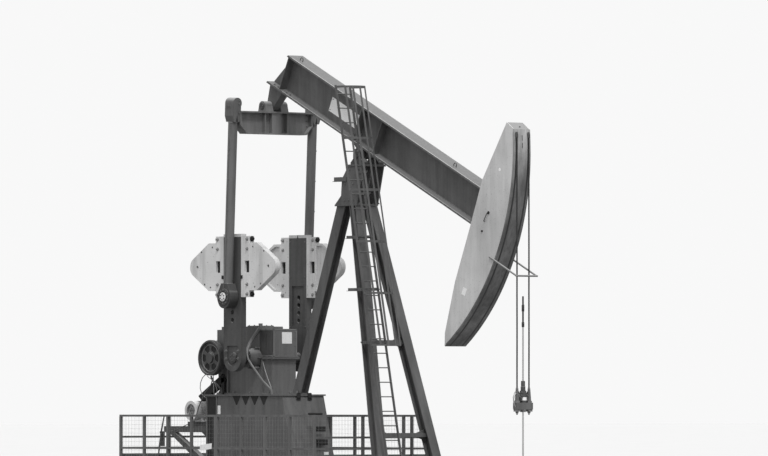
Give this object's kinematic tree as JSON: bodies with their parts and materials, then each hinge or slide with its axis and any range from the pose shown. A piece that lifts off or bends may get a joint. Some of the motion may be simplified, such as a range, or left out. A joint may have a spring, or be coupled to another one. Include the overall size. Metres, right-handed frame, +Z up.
{
  "type": "beam pumping unit",
  "caption": "Crank-balanced beam pumping unit: walking beam with horsehead, post, pitmans, cranks with side weights, reducer, motor and guard fence.",
  "frame": {"origin": "on the ground below the centre bearing, at the bottom of the base's cross beam", "axes": "+X towards the horsehead and the well, +Y to the side away from the ladder, +Z up"},
  "size_m": [10.8736, 2.95, 8.9942],
  "materials": {
    "grey_paint": "satin, weathered",
    "dark_paint": "satin, weathered",
    "pale_paint": "satin, weathered",
    "weight_paint": "chalky, streaked",
    "fence_paint": "matt",
    "cast_grey": "machined and painted",
    "wire_rope": "greased",
    "polished_steel": "polished",
    "belt_rubber": "matt"
  },
  "bodies": {
    "root": {"base_beams": "dark_paint", "base_cross_beams": "dark_paint", "pedestal": "grey_paint", "reducer_case": "grey_paint", "reducer_cover": "grey_paint", "input_sheave": "cast_grey", "brake_drum": "cast_grey", "motor_platform": "dark_paint", "motor": "pale_paint", "drive_belt": "belt_rubber", "post_front_legs": "grey_paint", "post_rear_leg": "grey_paint", "post_girts": "grey_paint", "post_head": "grey_paint", "centre_bearing": "grey_paint", "ladder": "dark_paint", "ladder_cage": "dark_paint", "fence_near": "fence_paint", "fence_far": "fence_paint", "fence_rear": "fence_paint", "fence_front": "fence_paint"},
    "crank": {"crankshaft": "cast_grey", "crank_near": "dark_paint", "crank_far": "dark_paint", "weight_near_rear": "weight_paint", "weight_near_front": "weight_paint", "weight_far_rear": "weight_paint", "weight_far_front": "weight_paint"},
    "beam": {"walking_beam": "grey_paint", "beam_saddle": "grey_paint", "tail_bracket": "grey_paint", "head_plate_near": "pale_paint", "head_plate_far": "pale_paint", "head_face": "grey_paint", "rope_guard": "dark_paint", "head_rope": "wire_rope"},
    "pitmans": {"equalizer": "grey_paint", "pitman_near": "grey_paint", "pitman_far": "grey_paint", "wrist_bearing_near": "grey_paint", "wrist_bearing_far": "grey_paint"},
    "rod": {"carrier_bar": "dark_paint", "polished_rod": "polished_steel", "rod_clamp": "dark_paint", "bridle": "wire_rope"}
  },
  "joints": [
    {"name": "crank_turn", "type": "hinge", "parent": "root", "child": "crank", "pos_m": [-3.048, 0, 3.05], "axis": [0, -1, 0], "range_deg": [0, 180]},
    {"name": "beam_rock", "type": "hinge", "parent": "root", "child": "beam", "pos_m": [0, 0, 7], "axis": [0, -1, 0], "range_deg": [0, 46.46]},
    {"name": "pitman_swing", "type": "hinge", "parent": "beam", "child": "pitmans", "pos_m": [-2.87508, 0, 8.01203], "axis": [0, 1, 0], "range_deg": [0, 48.91]},
    {"name": "rod_slide", "type": "slide", "parent": "root", "child": "rod", "axis": [0, 0, 1], "range_m": [0, 3.73], "deforming": ["bridle"]}
  ],
  "couplings": [
    {"joint": "beam_rock", "follows": "crank_turn", "ratio": 0.25809},
    {"joint": "pitman_swing", "follows": "crank_turn", "ratio": 0.27169},
    {"joint": "rod_slide", "follows": "crank_turn", "m_per_rad": 1.1872}
  ]
}
